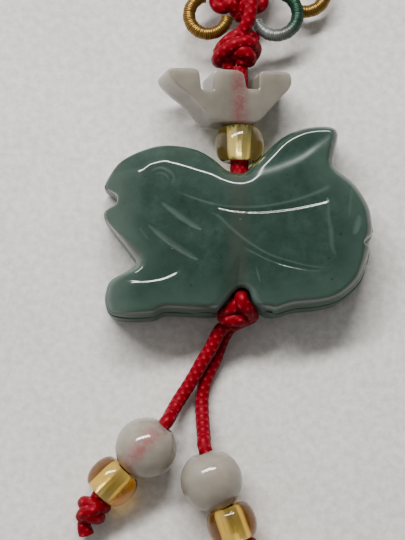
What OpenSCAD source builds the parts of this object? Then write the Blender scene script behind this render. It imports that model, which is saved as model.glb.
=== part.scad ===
// Pendant: a carved jade plaque strung on red cord with beads, lying on its flat back.
// X runs to the carving's right, Y up towards the hanging loop, Z out of the carved face.
// The origin is on the plaque's flat back, under the middle of its drilled hole.

/* [Plaque] */
// Width from the lips to the rump
plaque_w = 34.6; // [30:0.2:40]
// Height from the ears to the paws
plaque_h = 24.6; // [22:0.2:28]
// Thickness at the middle of the face
plaque_t = 9.2; // [8:0.1:11]
// Rounding at the edge of the back
back_edge = 0.9; // [0.5:0.1:1.2]
// Height that the shoulder falls between the face and the wall
shoulder_drop = 2.6; // [1.8:0.1:3.2]
// Height that the face falls between its middle and its edge
face_crown = 0.5; // [0.2:0.1:0.9]
// Depth of the carved lines
line_depth = 0.55; // [0.3:0.05:0.8]
// Diameter of the hole drilled from top to bottom
plaque_bore_d = 2.7; // [2.6:0.1:3.2]

/* [Flower bead] */
// Width across the mouth
flower_w = 17; // [14:0.1:19]
// Length from the base to the petals' tips
flower_l = 7.1; // [6:0.1:9]
// Thickness of the tablet
flower_t = 6.1; // [5.4:0.1:6.4]
// Width of each notch between the petals
flower_notch_w = 2; // [1.6:0.1:2.6]
// Depth of each notch
flower_notch_l = 3.1; // [1.8:0.1:3.4]
// Distance of the drilled hole from the tablet's middle
flower_bore_x = 2.2; // [1:0.1:2.3]
// Angle that the tablet leans to its right edge
flower_lean = 15; // [8:1:15]

/* [Beads] */
// Diameter of the round beads
round_d = 8; // [7:0.1:10]
// Diameter of the round beads' holes
round_bore_d = 2.1; // [2:0.1:2.6]
// Diameter of the glass beads
glass_d = 6.4; // [5.6:0.1:7.2]
// Length of the glass beads along the hole
glass_l = 4.6; // [4.2:0.1:5.6]
// Diameter of the hole in the two glass beads on the tails
glass_bore_d = 2.4; // [2:0.1:2.6]
// Distance of the left round bead's hole from its middle
round_left_off = 0.3; // [0:0.1:0.6]
// Distance of the right round bead's hole from its middle
round_right_off = 0.6; // [0:0.1:0.6]
// Gap between pieces strung next to each other
string_gap = 0.1; // [0.05:0.05:0.3]

/* [Cords and knots] */
// Diameter of the braided cord
cord_d = 1.8; // [1.6:0.1:1.9]
// Diameter of the two strands pressed together where they run through the plaque
core_d = 2.4; // [2.2:0.1:2.5]
// Gap between the core and the holes that it fills
core_gap = 0.1; // [0.05:0.05:0.2]
// Width of the end knots
end_knot_w = 4.3; // [3.6:0.1:5]
// Length of the stub below an end knot
stub_l = 1.4; // [1:0.1:4]
// Number of strands each way in the woven top knot
weave_strands = 4; // [3:1:4]
// Diameter of the ears wound with metallic thread
ear_d = 1.7; // [1.4:0.1:2]
// Radius of the left ear at the middle of its winding
ear_left_r = 2.6; // [2:0.1:3]
// Radius of the right ear at the middle of its winding
ear_right_r = 2.9; // [2.2:0.1:3.2]
// Radius of the far right ear at the middle of its winding
ear_far_r = 2.75; // [2.2:0.05:3]

/* [Hidden] */

jade_green = [0.25, 0.38, 0.32];
jade_white = [0.80, 0.80, 0.76];
amber = [0.78, 0.66, 0.32];
cord_red = [0.72, 0.03, 0.07];
thread_gold = [0.74, 0.54, 0.24];
thread_green = [0.24, 0.42, 0.38];

small = 0.001;
// Height of the hole's axis, and so of the core, above the surface
axis_z = plaque_t / 2;
// The top glass bead lies in the valley between head and ears, whose sides rise about 1.26 for each 1 across.
valley_y = 0.177 * plaque_h;
valley_rise = 1.26;
glass_top_y = valley_y + valley_rise * glass_d / 2 + glass_l / 2;
flower_base_y = glass_top_y + glass_l / 2 + string_gap;
flower_mouth_y = flower_base_y + flower_l;
// Bottom of the plaque at the hole
notch_y = -0.352 * plaque_h;

// Outline of the plaque from the upper lip, clockwise: share of plaque_w, share of plaque_h, from the hole.
outline = [
  [-0.505, 0.193], [-0.506, 0.212], [-0.487, 0.266], [-0.451, 0.326], [-0.390, 0.376], [-0.311, 0.412],
  [-0.239, 0.414], [-0.160, 0.391], [-0.095, 0.339], [-0.045, 0.280], [0.012, 0.268], [0.048, 0.311],
  [0.088, 0.365], [0.156, 0.453], [0.228, 0.501], [0.300, 0.518], [0.354, 0.509], [0.372, 0.470],
  [0.362, 0.385], [0.356, 0.320], [0.371, 0.281], [0.434, 0.203], [0.483, 0.093], [0.497, 0.001],
  [0.497, -0.060], [0.473, -0.091], [0.463, -0.118], [0.487, -0.147], [0.464, -0.269], [0.433, -0.338],
  [0.368, -0.410], [0.294, -0.441], [0.200, -0.455], [0.133, -0.482], [0.089, -0.472], [0.051, -0.431],
  [0.033, -0.373], [0.008, -0.352], [-0.016, -0.365], [-0.053, -0.420], [-0.095, -0.477], [-0.183, -0.477],
  [-0.278, -0.472], [-0.330, -0.498], [-0.425, -0.502], [-0.483, -0.482], [-0.503, -0.424], [-0.502, -0.367],
  [-0.483, -0.304], [-0.422, -0.254], [-0.389, -0.208], [-0.421, -0.136], [-0.469, -0.048], [-0.507, 0.030], [-0.504, 0.072],
  [-0.466, 0.100], [-0.464, 0.148]];

// Upper edge of the face, from the brow to the tip of the ears, in the same shares.
face_top = [
  [-0.500, 0.150], [-0.430, 0.235], [-0.341, 0.296], [-0.285, 0.313], [-0.243, 0.296], [-0.146, 0.256],
  [-0.077, 0.227], [-0.022, 0.205], [0.034, 0.206], [0.103, 0.227], [0.159, 0.256], [0.235, 0.310],
  [0.300, 0.359], [0.380, 0.410]];

// Carved lines: share of line_depth, share of plaque_w for the width, then points in the outline's shares.
carved_lines = [
  [1.0, 0.046, [[-0.225, 0.128], [-0.180, 0.099], [-0.120, 0.066], [-0.028, 0.049], [0.069, 0.046],
                [0.173, 0.064], [0.260, 0.095], [0.325, 0.127]]],
  [1.0, 0.046, [[-0.135, 0.045], [-0.092, 0.007], [-0.035, -0.075], [0.034, -0.145], [0.103, -0.205],
                [0.173, -0.237], [0.260, -0.262], [0.325, -0.262]]],
  [0.8, 0.024, [[0.329, 0.100], [0.327, 0.012], [0.336, -0.066], [0.340, -0.143], [0.364, -0.202]]],
  [0.9, 0.022, [[-0.292, 0.091], [-0.220, 0.010], [-0.143, -0.056]]],
  [0.9, 0.026, [[-0.342, -0.026], [-0.250, -0.135], [-0.157, -0.212]]],
  [0.5, 0.016, [[-0.375, -0.041], [-0.341, -0.105]]],
  [1.0, 0.100, [[-0.370, -0.225], [-0.320, -0.255], [-0.250, -0.255]]],
  [0.5, 0.016, [[-0.334, 0.235], [-0.299, 0.270], [-0.264, 0.250], [-0.247, 0.217], [-0.254, 0.183]]],
  [0.9, 0.026, [[0.416, 0.169], [0.412, 0.091]]],
  [1.4, 0.080, [[-0.005, -0.200], [-0.003, -0.290], [0.000, -0.380]]]];

// Hollow along the ear, just above the edge of the face.
ear_hollow = [[0.045, 0.245], [0.120, 0.268], [0.200, 0.318], [0.290, 0.385]];
ear_hollow_depth = 0.6 * line_depth;
ear_hollow_w = 0.045 * plaque_w;
// Fall of the stone beyond the upper edge of the face, for each millimetre
bevel_slope = 0.55;
line_slices = 2;

// Sides of the flower bead from its base up: share of flower_w, share of flower_l.
flower_right = [[0.22, 0], [0.262, 0.07], [0.324, 0.25], [0.405, 0.49], [0.475, 0.69], [0.50, 0.85],
                [0.49, 1]];
flower_left = [[-0.145, 0], [-0.19, 0.16], [-0.243, 0.30], [-0.30, 0.44], [-0.375, 0.56], [-0.455, 0.72],
               [-0.50, 0.87], [-0.485, 0.945]];
flower_corner_r = 0.7;
petal_mid_w = 0.243 * flower_w;

// Centre lines of the strands tied in each knot, as shares of cord_d from the knot's middle.
upper_knot_mid = [-0.6, flower_mouth_y + 1.93 * cord_d + string_gap, axis_z];
upper_knot_lines = [
  [[1.19, 3.89, 1.22], [1.19, 3.04, 1.28], [1.12, 2.31, 1.22], [0.93, 1.67, 1.06], [0.65, 1.15, 0.78],
   [0.39, 0.64, 0.44], [0.29, 0.11, 0.17], [0.40, -0.46, 0.00], [0.40, -1.13, 0.00]],
  [[0.93, -0.78, -0.78], [1.37, -0.39, -0.56], [1.51, 0.00, 0.00], [1.19, 0.13, 0.78], [0.60, 0.12, 1.22],
   [-0.14, -0.12, 1.28], [-0.72, -0.44, 0.94], [-1.15, -0.77, 0.33], [-1.14, -0.94, -0.33],
   [-0.62, -0.77, -0.83], [0.12, -0.51, -0.94], [0.93, -0.40, -0.78]],
  [[1.44, 0.66, -0.22], [0.98, 0.88, 0.39], [0.39, 0.82, 0.72], [-0.27, 0.47, 0.78], [-0.82, 0.05, 0.39],
   [-1.14, -0.32, -0.22]],
  [[-0.12, -0.73, 0.17], [0.16, -0.55, 0.78], [0.60, -0.56, 1.11], [1.00, -0.76, 0.89], [1.09, -1.03, 0.33],
   [0.68, -1.10, 0.44], [0.24, -1.01, 0.39]],
  [[-0.49, -0.59, 0.22], [-0.52, -0.94, 0.11], [-0.34, -1.20, -0.06]]];
lower_knot_mid = [-0.3, notch_y - 1.54 * cord_d, axis_z - 0.6 * cord_d];
lower_knot_lines = [
  [[0.20, 1.17, 0.62], [0.22, 1.00, 1.10], [0.22, 0.94, 1.66], [0.34, 0.44, 1.76], [0.80, -0.02, 1.25],
   [1.02, -0.33, 0.45], [0.56, -0.49, -0.40]],
  [[0.06, 0.86, 0.80], [-0.10, 0.52, 1.50], [-0.50, 0.08, 1.40], [-0.98, -0.30, 0.80], [-0.93, -0.51, 0.88],
   [-0.40, -0.64, 1.15], [0.14, -0.65, 1.00], [0.36, -0.63, 0.16], [0.05, -0.49, -0.40],
   [-0.60, -0.30, -0.62], [-0.98, -0.32, -0.46]],
  [[0.10, 0.60, 0.62], [0.02, 0.05, 0.62], [-0.05, -0.38, 0.50]],
  [[0.78, -0.01, -0.18], [0.51, -0.53, 0.27], [0.04, -0.80, 0.43], [-0.40, -0.98, 0.32]]];

// Points of each tail: X, distance in Y from the lower knot's middle, height.
tail_left_route = [
  [-2.6, -2.4, 3.6], [-3.2, -3.5, 3.35], [-3.78, -4.65, 3.05], [-4.4, -5.65, 2.9], [-5.0, -6.6, 2.75],
  [-5.85, -8.1, 2.45], [-6.85, -9.7, 2.15], [-7.9, -11.3, 2.1], [-8.85, -13.0, 2.8]];
tail_right_route = [
  [-1.8, -2.5, 1.7], [-2.35, -3.6, 1.35], [-2.8, -4.8, 1.25], [-3.3, -6.2, 1.25], [-3.9, -7.4, 1.25],
  [-4.55, -9.0, 1.15], [-4.9, -10.8, 1.0], [-4.9, -12.7, 1.3], [-4.8, -14.6, 2.2], [-4.65, -16.3, 3.3]];
// Where each tail's cord enters its round bead, and headings: round bead, glass bead, end knot, stub.
tail_left_drop = 14.7;
tail_left_in = [-9.85, lower_knot_mid[1] - tail_left_drop];
tail_left_turn = [-132, -135, -118, -80];
tail_right_drop = 18.1;
tail_right_in = [-4.4, lower_knot_mid[1] - tail_right_drop];
tail_right_turn = [-70, -70, -60, -75];

// Top knot: its middle and the pitch that lowers its far corner.
top_knot_mid = [0, upper_knot_mid[1] + 4.8 * cord_d, axis_z - 0.7];
top_knot_pitch = 8;
weave_pitch = cord_d;
weave_side = weave_strands * weave_pitch;

// Hanging loop's right half: X, distance in Y from the top knot's corner, height; mirrored for the left.
loop_from = top_knot_mid[1] + weave_side / sqrt(2);
loop_route = [
  [1.0, -0.2, 2.9], [1.0, 1.7, 2.3], [1.0, 3.8, 1.6], [1.1, 6.0, 1.1], [1.2, 8.4, 1.0], [1.5, 11.4, 1.0],
  [2.0, 15.4, 1.0], [2.8, 19.9, 1.0], [3.8, 24.9, 1.0], [4.9, 29.9, 1.0], [6.0, 34.9, 1.0], [7.0, 39.9, 1.0],
  [7.7, 44.9, 1.0], [7.8, 49.4, 1.0], [6.8, 53.9, 1.0], [4.6, 57.1, 1.0], [1.6, 58.6, 1.0]];

// Middles of the ears, measured from the top knot's own.
ear_left_mid = top_knot_mid + [-4.05, -4.0, 0.4];
ear_right_mid = top_knot_mid + [4.93, -3.9, 0.3];
ear_far_mid = top_knot_mid + [9.0, -0.3, -1.45];
// Each ear's gap: the way it faces and how wide it is
ear_left_gap = [46, 112];
ear_right_gap = [139, 122];
ear_far_gap = [180, 118];
// Slope of each ear towards its outer side
ear_left_slope = 6;
ear_right_slope = 2;
ear_far_slope = -5;

function unit(v) = v / norm(v);

// Smooth curve through a list of points, with a number of steps between neighbours.
function curve_point(a, b, c, d, t) =
  0.5 * (2 * b + (c - a) * t + (2 * a - 5 * b + 4 * c - d) * t * t + (3 * b - a - 3 * c + d) * t * t * t);
function open_curve(p, steps) = [
  for (i = [0 : len(p) - 2]) for (k = [0 : steps - 1])
    curve_point(p[max(i - 1, 0)], p[i], p[i + 1], p[min(i + 2, len(p) - 1)], k / steps),
  p[len(p) - 1]];
function closed_curve(p, steps) = let (n = len(p)) [
  for (i = [0 : n - 1]) for (k = [0 : steps - 1])
    curve_point(p[(i + n - 1) % n], p[i], p[(i + 1) % n], p[(i + 2) % n], k / steps)];

function plaque_point(p) = [p[0] * plaque_w, p[1] * plaque_h];

// Distance from a point to a stretch between two others, and to a whole line.
function stretch_distance(q, a, b) =
  let (t = max(0, min(1, (q - a) * (b - a) / ((b - a) * (b - a))))) norm(q - a - t * (b - a));
function line_distance(q, line, closed = false) =
  min([for (i = [0 : len(line) - (closed ? 1 : 2)]) stretch_distance(q, line[i], line[(i + 1) % len(line)])]);

rim = closed_curve([for (p = outline) plaque_point(p)], 2);
function rim_distance(q) = line_distance(q, rim, true);
brow = [for (p = face_top) plaque_point(p)];
wall_top = plaque_t - face_crown - shoulder_drop;

// Height of a line that runs left to right, at a place along it.
function line_height(line, x, i = 0) =
  i >= len(line) - 2 || x < line[i + 1][0]
    ? line[i][1] + (line[i + 1][1] - line[i][1]) * (x - line[i][0]) / (line[i + 1][0] - line[i][0])
    : line_height(line, x, i + 1);

// Height of the stone's front: the crowned face, the bevel above its upper edge, and a rounded shoulder.
function face_z(q, edge) =
  let (
    crown = plaque_t - face_crown * min(1, pow(q[0] / (0.5 * plaque_w), 2) + pow(q[1] / (0.5 * plaque_h), 2)),
    above = max(0, q[1] - line_height(brow, q[0])),
    bevel = plaque_t - face_crown / 2 - bevel_slope * above,
    reach = 1.25 * shoulder_drop,
    in = min(1, edge / reach),
    shoulder = wall_top + (plaque_t - wall_top) * sqrt(1 - pow(1 - in, 2))
  )
  min(crown, bevel, shoulder);

face_insets = [for (s = [0.05, 0.17, 0.42, 0.85, 1.4, 2.15]) s * shoulder_drop];
face_shares = [0.6, 0.8];

// The blank is rings of the outline drawn in towards the hole's middle, closed by one point at each end.
module plaque_blank() {
  n = len(rim);
  function pulled(p, inset) = p * (1 - inset / norm(p));
  function on_face(q, edge) = [q[0], q[1], face_z(q, edge)];
  lower = [[0.85 * back_edge, 0], [0.3 * back_edge, 0.3 * back_edge], [0, back_edge], [0, wall_top]];
  rings = [
    for (r = lower) [for (p = rim) let (q = pulled(p, r[0])) [q[0], q[1], r[1]]],
    for (s = face_insets) [for (p = rim) on_face(pulled(p, s), rim_distance(pulled(p, s)))],
    for (s = face_shares) [for (p = rim) on_face(pulled(p, face_insets[5]) * (1 - s), plaque_h)]];
  m = len(rings);
  points = concat([for (r = rings) each r], [[0, 0, 0], [0, 0, plaque_t]]);
  polyhedron(points, [
    for (i = [0 : n - 1]) [m * n, (i + 1) % n, i],
    for (j = [0 : m - 2]) for (i = [0 : n - 1]) let (k = (i + 1) % n) each [
      [j * n + i, j * n + k, (j + 1) * n + k], [j * n + i, (j + 1) * n + k, (j + 1) * n + i]],
    for (i = [0 : n - 1]) [m * n + 1, (m - 1) * n + i, (m - 1) * n + (i + 1) % n]], convexity = 6);
}

// One pass of the gouge along a line: a V that is shallow at both ends and follows the face.
module carve(line, width, depth) {
  path = open_curve(line, line_slices);
  last = len(path) - 1;
  function share(i) = i == 0 || i == last ? 0.25 : 1;
  module tip(i) {
    bottom = face_z(path[i], rim_distance(path[i])) - depth * share(i);
    height = depth * share(i) + 1;
    translate([path[i][0], path[i][1], bottom])
      cylinder(h = height, r1 = 0.05, r2 = 0.05 + height * width / 2 / depth, $fn = 8);
  }
  for (i = [0 : last - 1]) hull() {
    tip(i);
    tip(i + 1);
  }
}

module jade_plaque() {
  color(jade_green) difference() {
    plaque_blank();
    for (c = carved_lines)
      carve([for (p = c[2]) plaque_point(p)], c[1] * plaque_w, c[0] * line_depth);
    carve([for (p = ear_hollow) plaque_point(p)], ear_hollow_w, ear_hollow_depth);
    translate([0, 0, axis_z]) rotate([90, 0, 0])
      cylinder(h = 1.2 * plaque_h, d = plaque_bore_d, center = true, $fn = 28);
  }
}

// Outline of the flower: sloping sides, three petals and two notches.
module flower_outline() {
  last = len(flower_left) - 1;
  offset(r = flower_corner_r, $fn = 24) offset(delta = -flower_corner_r) difference() {
    polygon([for (p = concat(flower_right, [for (i = [last : -1 : 0]) flower_left[i]]))
      [p[0] * flower_w, p[1] * flower_l]]);
    for (side = [-1, 1]) translate([side * (petal_mid_w + flower_notch_w) / 2, flower_l])
      square([flower_notch_w, 2 * flower_notch_l], center = true);
  }
}

// The flower's place: its hole lies on the core, its base just above the glass bead.
module flower_place() {
  translate([0, flower_base_y, axis_z]) rotate([0, flower_lean, 0]) translate([-flower_bore_x, 0, 0])
    children();
}

module flower_bead() {
  color(jade_white) difference() {
    flower_place() translate([0, 0, -flower_t / 2]) linear_extrude(flower_t) flower_outline();
    translate([0, flower_base_y + flower_l / 2, axis_z]) rotate([90, 0, 0])
      cylinder(h = 2 * flower_l, d = core_d + 2 * core_gap, center = true);
  }
}

// Half of a bead's section as a barrel: flat at the ends, round outside.
module glass_bead(bore_d) {
  end_r = 0.62 * glass_d / 2;
  rotate_extrude() difference() {
    polygon(concat(
      [[small, -glass_l / 2]],
      [for (k = [0 : 16]) let (a = 90 * (k / 8 - 1))
        [end_r + (glass_d / 2 - end_r) * cos(a), glass_l / 2 * sin(a)]],
      [[small, glass_l / 2]]));
    translate([0, -glass_l]) square([bore_d / 2, 2 * glass_l]);
  }
}

module glass_bead_top() {
  color(amber) translate([0, glass_top_y, axis_z]) rotate([90, 0, 0]) glass_bead(core_d + 2 * core_gap);
}

// Round bead with a small flat at each end of its hole.
flat_d = 3;
round_l = 2 * sqrt(pow(round_d / 2, 2) - pow(flat_d / 2, 2));
module round_bead(off) {
  difference() {
    translate([0, off, 0]) intersection() {
      sphere(d = round_d, $fn = 64);
      cube([2 * round_d, 2 * round_d, round_l], center = true);
    }
    cylinder(h = 2 * round_d, d = round_bore_d, center = true);
  }
}

// Places along a tail: the holes lie on one line that falls from the round bead to the smaller glass one.
rest_gap = 0.03;
string_pitch = asin((round_d - glass_d - 2 * rest_gap) / (round_l + glass_l + 2 * string_gap));
function heading(a) = [cos(string_pitch) * cos(a), cos(string_pitch) * sin(a), -sin(string_pitch)];
function round_mid(in, turn) = concat(in + round_l / 2 * [cos(turn[0]), sin(turn[0])], [round_d / 2]);
function round_out(in, turn) = round_mid(in, turn) + (round_l / 2 + string_gap / 2) * heading(turn[0]);
function glass_mid(in, turn) = round_out(in, turn) + (glass_l / 2 + string_gap / 2) * heading(turn[1]);
function glass_out(in, turn) = glass_mid(in, turn) + (glass_l / 2 + string_gap) * heading(turn[1]);

module along(mid, turn) {
  translate(mid) rotate([0, 0, turn]) rotate([0, 90 + string_pitch, 0]) children();
}

module glass_bead_left() {
  color(amber) along(glass_mid(tail_left_in, tail_left_turn), tail_left_turn[1])
    glass_bead(glass_bore_d);
}
module glass_bead_right() {
  color(amber) along(glass_mid(tail_right_in, tail_right_turn), tail_right_turn[1])
    glass_bead(glass_bore_d);
}
module round_bead_left() {
  color(jade_white) along(round_mid(tail_left_in, tail_left_turn), tail_left_turn[0])
    round_bead(round_left_off);
}
module round_bead_right() {
  color(jade_white) along(round_mid(tail_right_in, tail_right_turn), tail_right_turn[0])
    round_bead(-round_right_off);
}

// Tube swept along a path, closed at both ends.
module cord(path) {
  sides = 8;
  n = len(path);
  points = [
    for (i = [0 : n - 1])
      let (
        along = unit(path[min(i + 1, n - 1)] - path[max(i - 1, 0)]),
        across = unit(cross(along, [0, 0, 1])),
        up = cross(across, along)
      )
      for (k = [0 : sides - 1]) let (turn = 360 * k / sides)
        path[i] + cord_d / 2 * (cos(turn) * across + sin(turn) * up)];
  polyhedron(points, concat(
    [[for (k = [0 : sides - 1]) k]],
    [for (i = [0 : n - 2]) for (k = [0 : sides - 1]) let (m = (k + 1) % sides)
      [i * sides + k, (i + 1) * sides + k, (i + 1) * sides + m, i * sides + m]],
    [[for (k = [sides - 1 : -1 : 0]) (n - 1) * sides + k]]), convexity = 10);
}

core_from = flower_mouth_y + string_gap / 2;
core_to = lower_knot_mid[1] + 1.8 * cord_d;
module core_cord() {
  color(cord_red) translate([0, core_to, axis_z]) rotate([-90, 0, 0])
    cylinder(h = core_from - core_to, d = core_d);
}

function tail_path(route, in, turn) = concat(
  [for (p = route) p + [0, lower_knot_mid[1], 0]],
  [round_mid(in, turn) - (round_l / 2 + 0.4) * heading(turn[0]), round_mid(in, turn), round_out(in, turn),
   glass_mid(in, turn), glass_out(in, turn) - string_gap / 2 * heading(turn[1])]);
module tail_cord_left() {
  color(cord_red) cord(tail_path(tail_left_route, tail_left_in, tail_left_turn));
}
module tail_cord_right() {
  color(cord_red) cord(tail_path(tail_right_route, tail_right_in, tail_right_turn));
}

// Round links along a centre line, one for each stretch.
module links(path) {
  for (i = [0 : len(path) - 2]) hull() {
    translate(path[i]) sphere(d = cord_d, $fn = 8);
    translate(path[i + 1]) sphere(d = cord_d, $fn = 8);
  }
}
module tied(mid, lines) {
  for (line = lines) links([for (p = open_curve(line, 2)) mid + p * cord_d]);
}
module upper_knot() {
  color(cord_red) tied(upper_knot_mid, upper_knot_lines);
}
module lower_knot() {
  color(cord_red) tied(lower_knot_mid, lower_knot_lines);
}

// End knot: a coil of the cord round itself, and the stub that is left below it.
coil_from = -60;
coil_to = 480;
coil_length = 1.1 * cord_d;
coil_overlap = 0.1;
// Strand that crosses over the coil: shares of cord_d ahead, to the left and up from the knot's middle
over_points = [[-0.2, 0.3, 0.86], [0.1, 0.1, 0.92], [0.45, -0.25, 0.8], [0.85, -0.35, 0.25]];
// Diameter of the stub's sealed tip
stub_tip_d = 0.9 * cord_d;
module end_knot(start, turn, stub_turn) {
  r = (end_knot_w - cord_d) / 2;
  ahead = [cos(turn), sin(turn), 0];
  across = [-sin(turn), cos(turn), 0];
  mid = [start[0], start[1], end_knot_w / 2] + (r + cord_d / 2 - coil_overlap) * ahead;
  leave = mid + r * ahead - [0, 0, 0.2 * r];
  links([for (a = [coil_from : 45 : coil_to])
    mid + r * (cos(a) * across + sin(a) * [0, 0, 1]) + (a / coil_to - 0.45) * coil_length * ahead]);
  links([for (p = over_points) mid + cord_d * (p[0] * ahead + p[1] * across + [0, 0, p[2]])]);
  hull() {
    translate(leave) sphere(d = cord_d, $fn = 8);
    translate(leave + (cord_d / 2 + stub_l) * [cos(stub_turn), sin(stub_turn), 0] - [0, 0, 0.3 * r])
      sphere(d = stub_tip_d, $fn = 8);
  }
}
module end_knot_left() {
  color(cord_red) end_knot(glass_out(tail_left_in, tail_left_turn), tail_left_turn[2], tail_left_turn[3]);
}
module end_knot_right() {
  color(cord_red) end_knot(glass_out(tail_right_in, tail_right_turn), tail_right_turn[2], tail_right_turn[3]);
}

// Woven knot: strands cross over and under in a square that stands on its corner.
layer_rise = 0.36 * cord_d;
module top_knot() {
  half = weave_side / 2;
  color(cord_red) translate(top_knot_mid) rotate([-top_knot_pitch, 0, 0]) rotate([0, 0, 45])
    for (layer = [-1, 1]) for (i = [0 : weave_strands - 1])
      rotate([0, 0, layer == 1 ? 90 : 0]) hull() for (end = [-1, 1])
        translate([end * (half - cord_d / 2), (i + 0.5) * weave_pitch - half, layer * layer_rise])
          sphere(d = cord_d, $fn = 10);
}

// Ear: an open ring of cord wound with thread, its gap turned towards the knot.
module ear(mid, r, gap, slope) {
  translate(mid) rotate([0, slope, 0]) rotate([0, 0, gap[0] + gap[1] / 2])
    rotate_extrude(angle = 360 - gap[1], $fn = 64) translate([r, 0]) circle(d = ear_d, $fn = 32);
}
module ear_gold_left() {
  color(thread_gold) ear(ear_left_mid, ear_left_r, ear_left_gap, -ear_left_slope);
}
module ear_green_right() {
  color(thread_green) ear(ear_right_mid, ear_right_r, ear_right_gap, ear_right_slope);
}
module ear_gold_right() {
  color(thread_gold) ear(ear_far_mid, ear_far_r, ear_far_gap, ear_far_slope);
}

module hanging_loop() {
  half = [for (p = loop_route) [p[0], loop_from + p[1], p[2]]];
  back = [for (i = [len(half) - 1 : -1 : 0]) [-half[i][0], half[i][1], half[i][2]]];
  color(cord_red) cord(open_curve(concat(half, back), 2));
}

jade_plaque();
flower_bead();
glass_bead_top();
glass_bead_left();
glass_bead_right();
round_bead_left();
round_bead_right();
core_cord();
upper_knot();
lower_knot();
tail_cord_left();
tail_cord_right();
end_knot_left();
end_knot_right();
top_knot();
ear_gold_left();
ear_green_right();
ear_gold_right();
hanging_loop();
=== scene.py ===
"""A carved jade pendant on red cord, lying on a pale table. Shapes are worked out in millimetres."""

import math

import bpy
import numpy as np
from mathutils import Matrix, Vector


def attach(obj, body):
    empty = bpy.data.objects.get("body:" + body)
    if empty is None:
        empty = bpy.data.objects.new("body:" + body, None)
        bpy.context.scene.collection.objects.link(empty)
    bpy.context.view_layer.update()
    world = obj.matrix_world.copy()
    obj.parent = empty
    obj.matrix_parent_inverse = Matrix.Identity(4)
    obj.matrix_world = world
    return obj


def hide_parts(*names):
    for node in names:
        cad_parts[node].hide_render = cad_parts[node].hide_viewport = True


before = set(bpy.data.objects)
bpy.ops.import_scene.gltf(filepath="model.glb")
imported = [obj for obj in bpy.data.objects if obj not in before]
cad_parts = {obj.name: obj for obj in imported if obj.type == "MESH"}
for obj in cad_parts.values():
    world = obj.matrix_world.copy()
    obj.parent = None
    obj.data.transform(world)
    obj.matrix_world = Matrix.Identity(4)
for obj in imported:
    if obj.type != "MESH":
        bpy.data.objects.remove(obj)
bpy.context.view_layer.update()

# Camera: held over the table and leaning a little towards the viewer's side, so that the walls that
# face the viewer show as narrow strips below the faces.
MM = 0.001
camera_tilt = math.radians(8.0)
camera_distance = 240.0
camera_aim = Vector((-4.85, -5.95, 4.5))
view_height = 70.42
lens_camera = bpy.data.cameras.new("camera")
lens_camera.lens = lens_camera.sensor_width * camera_distance / view_height
lens_camera.clip_start = 0.01
lens_camera.clip_end = 5.0
camera = bpy.data.objects.new("camera", lens_camera)
towards_camera = Vector((0, -math.sin(camera_tilt), math.cos(camera_tilt)))
camera.location = (camera_aim + camera_distance * towards_camera) * MM
camera.rotation_euler = (camera_tilt, 0, 0)
bpy.context.scene.collection.objects.link(camera)
bpy.context.scene.camera = camera


# Hanging loop: braided red nylon cord, eight yarns over a thin core, doubled back on itself.
# It leaves the woven knot's top corner, drops to the table and bends round at its far end.
def smooth_line(points, steps=24):
    """Curve through all the points. From the second to the third of any four, a to d, it is half of
    2b + (c - a)t + (2a - 5b + 4c - d)t^2 + (3b - a - 3c + d)t^3, while t runs from 0 to 1."""
    p = np.asarray(points, float)
    q = np.vstack([p[:1], p, p[-1:]])
    a, b, c, d = (q[k:len(q) - 3 + k, None, :] for k in range(4))
    t = np.linspace(0, 1, steps, endpoint=False)[None, :, None]
    curve = 0.5 * (2 * b + (c - a) * t + (2 * a - 5 * b + 4 * c - d) * t ** 2
                   + (3 * b - a - 3 * c + d) * t ** 3)
    return np.vstack([curve.reshape(-1, p.shape[1]), p[-1:]])


def even_line(line, spacing):
    """The same line with its points an even distance apart, and how far along it each point lies."""
    run = np.concatenate([[0], np.cumsum(np.linalg.norm(np.diff(line, axis=0), axis=1))])
    reach = np.linspace(0, run[-1], max(2, int(round(run[-1] / spacing))) + 1)
    return np.stack([np.interp(reach, run, line[:, k]) for k in range(line.shape[1])], 1), reach


def sideways(line):
    """The line's direction and two unit vectors square to it at each point. The first of these is the one
    before it less its part along the line, made one unit long again, so it doesn't twist."""
    ahead = np.gradient(line, axis=0)
    ahead /= np.linalg.norm(ahead, axis=1, keepdims=True)
    across = np.empty_like(line)
    v = np.cross(ahead[0], (0.05, 0.1, 1.0))
    for i, t in enumerate(ahead):
        v = v - t * np.dot(v, t)
        v = v / np.linalg.norm(v)
        across[i] = v
    return ahead, across, np.cross(across, ahead)


def ring_quads(rows, columns):
    """Faces between neighbouring rows of a grid whose columns close up into rings."""
    i = np.arange(rows - 1)[:, None] * columns
    j = np.arange(columns)[None, :]
    k = (j + 1) % columns
    return np.stack([i + j, i + columns + j, i + columns + k, i + k], -1).reshape(-1, 4)


def fan(centre, first, columns):
    """Triangles that close a ring of points with one point in its middle."""
    j = np.arange(columns)
    return np.stack([np.full(columns, centre), first + j, first + (j + 1) % columns], -1)


def skin_faces(rows, columns):
    """Faces of a tube of rings, closed at each end by one of the two points that follow the rings."""
    count = rows * columns
    return [ring_quads(rows, columns), fan(count, 0, columns),
            fan(count + 1, count - columns, columns)[:, ::-1]]


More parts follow.
